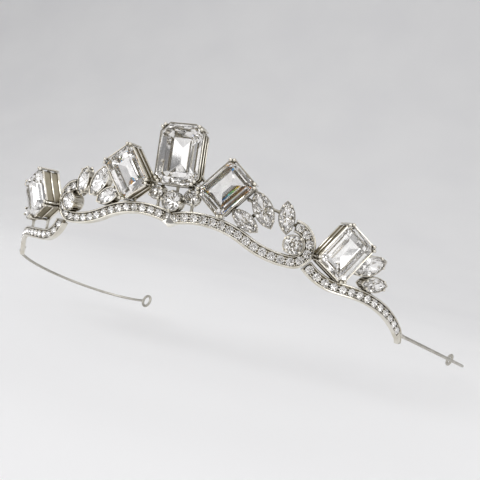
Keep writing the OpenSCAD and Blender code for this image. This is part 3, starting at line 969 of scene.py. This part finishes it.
# How much each ring's step stones are cut off at the corners
CORNERS = {"centre": 2.7, "inner": 1.5, "outer": 1.5}
STEP_STONES = [("centre_stone", "centre_setting", CORNERS["centre"])]
STEP_STONES += [(f"{ring}_{side}_stone", f"{ring}_{side}_setting", CORNERS[ring])
                for ring in ("inner", "outer") for side in SIDES]
# The pavilion facet with a painted dispersion flash, counted round each row of eight
PAINTED_FLASHES = {"inner_right_stone": 14, "inner_left_stone": 14}
NAVETTES = [f"{name}_{side}_navette" for name in ("tall", "low", "scroll", "fan", "base") for side in SIDES]
ROUNDS = ["brow_round"] + [f"bud_{side}" for side in SIDES] + [f"scroll_{side}_round" for side in SIDES]
# Where a cup's claws stand, as turns round its stone
TIP_CLAWS = [0.085, 0.415, 0.585, 0.915]
ROUND_CLAWS = [0.125, 0.375, 0.625, 0.875]


def make_tiara():
    plated = metal_material(*PLATED)
    polished = metal_material(*POLISHED, shade_colour=LIGHT_PAINTED_SHADE)
    shaded_wall_metal = metal_material(*SHADED_WALL_METAL)
    satin = metal_material(*SATIN)
    solder = metal_material(*SOLDER)
    stone_look = [crystal_material(), foil_material(), lacquer_material(), painted_flash_material()]
    for stone, setting, corner in STEP_STONES:
        place = seat(stone)
        shape = Shape()
        add_step_stone(shape, place, corner, PAINTED_FLASHES.get(stone))
        shape.make(f"{stone}_cut", stone_look, "frame", [stone])
        shape = Shape()
        add_step_setting(shape, place, corner, base_of(setting, place))
        shape.make(f"{setting}_basket", [plated, shaded_wall_metal], "frame", [setting])
    for name in NAVETTES + ROUNDS:
        place = seat(name)
        outline = lens_point if name in NAVETTES else round_point
        claws = TIP_CLAWS if name in NAVETTES else ROUND_CLAWS
        shape = Shape()
        add_brilliant(shape, place, outline)
        shape.make(f"{name}_cut", stone_look, "frame", [name])
        shape = Shape()
        add_cup(shape, place, outline, base_of(f"{name}_setting", place), claws)
        shape.make(f"{name}_cup", [plated], "frame", [f"{name}_setting"])
    for row, side in ROWS:
        make_band(row, side, plated)
        make_pave(row, side, stone_look, plated)
    make_v_point(polished)
    for node in ("solder_links_centre", "solder_links_left", "solder_links_right"):
        make_solder(node, solder)
    for side in SIDES:
        make_arm(side, satin, solder)


# ---- studio ----

# The camera's place in millimetres, its turn about the part, its rise, its roll and its lens
CAMERA_AT = Vector((60.8, -142.9, 3.4))
VIEW_TURN = 14.92
VIEW_RISE = 1.14
VIEW_ROLL = 11.05
LENS = 36.67


def make_camera():
    data = bpy.data.cameras.new("camera")
    data.lens = LENS
    data.sensor_width = 36.0
    data.clip_start = 0.01
    camera = bpy.data.objects.new("camera", data)
    bpy.context.scene.collection.objects.link(camera)
    back = Vector((sin(VIEW_TURN) * cos(VIEW_RISE), -cos(VIEW_TURN) * cos(VIEW_RISE), sin(VIEW_RISE)))
    right = Vector((0, 0, 1)).cross(back).normalized()
    up = back.cross(right)
    axes = Matrix([right, up, back]).transposed()
    roll = Matrix.Rotation(math.radians(VIEW_ROLL), 3, "Z")
    camera.matrix_world = Matrix.Translation(CAMERA_AT * MM) @ (axes @ roll).to_4x4()
    bpy.context.scene.camera = camera


# From here on lengths are in metres.
# The paper lies this far under the part, so that the arms stay above it as they swing
FLOOR_GAP = 0.007
# How far it runs to the front and to each side
FLOOR_REACH = 12.0
# Where the paper starts to curve up behind the part, the curve's radius, and the wall's height
SWEEP_START = 0.5
SWEEP_R = 0.9
SWEEP_TOP = 2.2
SWEEP_STEPS = 24


def sweep_line(z):
    """The paper's line from the front to the top of the wall, as (y, height)."""
    turns = [90 * k / SWEEP_STEPS for k in range(SWEEP_STEPS + 1)]
    curve = [(SWEEP_START + SWEEP_R * sin(a), z + SWEEP_R * (1 - cos(a))) for a in turns]
    return [(-FLOOR_REACH, z)] + curve + [(SWEEP_START + SWEEP_R, z + SWEEP_TOP)]


def make_floor():
    """One pale sweep of paper: flat under the part, then curving up behind it."""
    line = sweep_line(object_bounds()[0][2] - FLOOR_GAP)
    points = [(x, y, z) for y, z in line for x in (-FLOOR_REACH, FLOOR_REACH)]
    faces = [(2 * k, 2 * k + 1, 2 * k + 3, 2 * k + 2) for k in range(len(line) - 1)]
    mesh = bpy.data.meshes.new("floor")
    mesh.from_pydata(points, [], faces)
    for polygon in mesh.polygons:
        polygon.use_smooth = True
    floor = bpy.data.objects.new("floor", mesh)
    bpy.context.scene.collection.objects.link(floor)
    material, tree, shader = node_material("pale_floor")
    shade = noise(tree, 6.0, 2.0)
    tree.links.new(tint(tree, shade, (0.90, 0.90, 0.90), (0.87, 0.87, 0.875)), shader.inputs["Base Color"])
    shader.inputs["Roughness"].default_value = 0.7
    mesh.materials.append(material)


# Each softbox: its place in metres, its size, and its brightness; all are turned to AIM
AIM = Vector((0.0, 0.01, 0.0))
SOFTBOXES = {"key": ((-0.42, -0.75, 0.60), (0.50, 0.40), 5.0),
             "left_panel": ((-0.80, -0.62, 0.12), (0.45, 0.9), 1.1),
             "right_panel": ((0.85, -0.50, 0.20), (0.35, 0.9), 2.6),
             "front_panel": ((0.30, -1.10, 0.42), (0.9, 0.4), 1.3)}
# The room's brightness by height: dim up to just over the horizon, bright overhead
ROOM = [(0.45, (0.26, 0.26, 0.265)), (0.85, (0.97, 0.965, 0.975))]
ROOM_STRENGTH = 1.05
# The plain backdrop beyond the paper's edge
SKY_SEEN = (0.76, 0.76, 0.77)


def add_softbox(name, place, size, brightness):
    data = bpy.data.lights.new(name, "AREA")
    data.shape = "RECTANGLE"
    data.size, data.size_y = size
    data.energy = brightness * math.pi * size[0] * size[1]
    light = bpy.data.objects.new(name, data)
    light.location = place
    light.rotation_euler = (AIM - Vector(place)).to_track_quat("-Z", "Y").to_euler()
    bpy.context.scene.collection.objects.link(light)


def make_light():
    """A bright ceiling lights the paper evenly; softboxes in a dim room give the metal its contrast."""
    scene = bpy.context.scene
    world = bpy.data.worlds.new("studio")
    scene.world = world
    world.use_nodes = True
    tree = world.node_tree
    background = tree.nodes["Background"]
    coords = add_node(tree, "ShaderNodeTexCoord")
    split = add_node(tree, "ShaderNodeSeparateXYZ")
    tree.links.new(coords.outputs["Generated"], split.inputs["Vector"])
    room = colour_stops(tree, split.outputs["Z"], ROOM)
    path = add_node(tree, "ShaderNodeLightPath")
    seen = mix_colours(tree, path.outputs["Is Camera Ray"], room, SKY_SEEN)
    tree.links.new(seen, background.inputs["Color"])
    background.inputs["Strength"].default_value = ROOM_STRENGTH
    for name, (place, size, brightness) in SOFTBOXES.items():
        add_softbox(name, place, size, brightness)
    scene.view_settings.view_transform = "Standard"
    # Light that goes in and out of a stone needs many bounces, or its facets turn black
    scene.cycles.max_bounces = 24
    scene.cycles.glossy_bounces = 16
    scene.cycles.transmission_bounces = 20


make_camera()
make_tiara()
make_floor()
make_light()
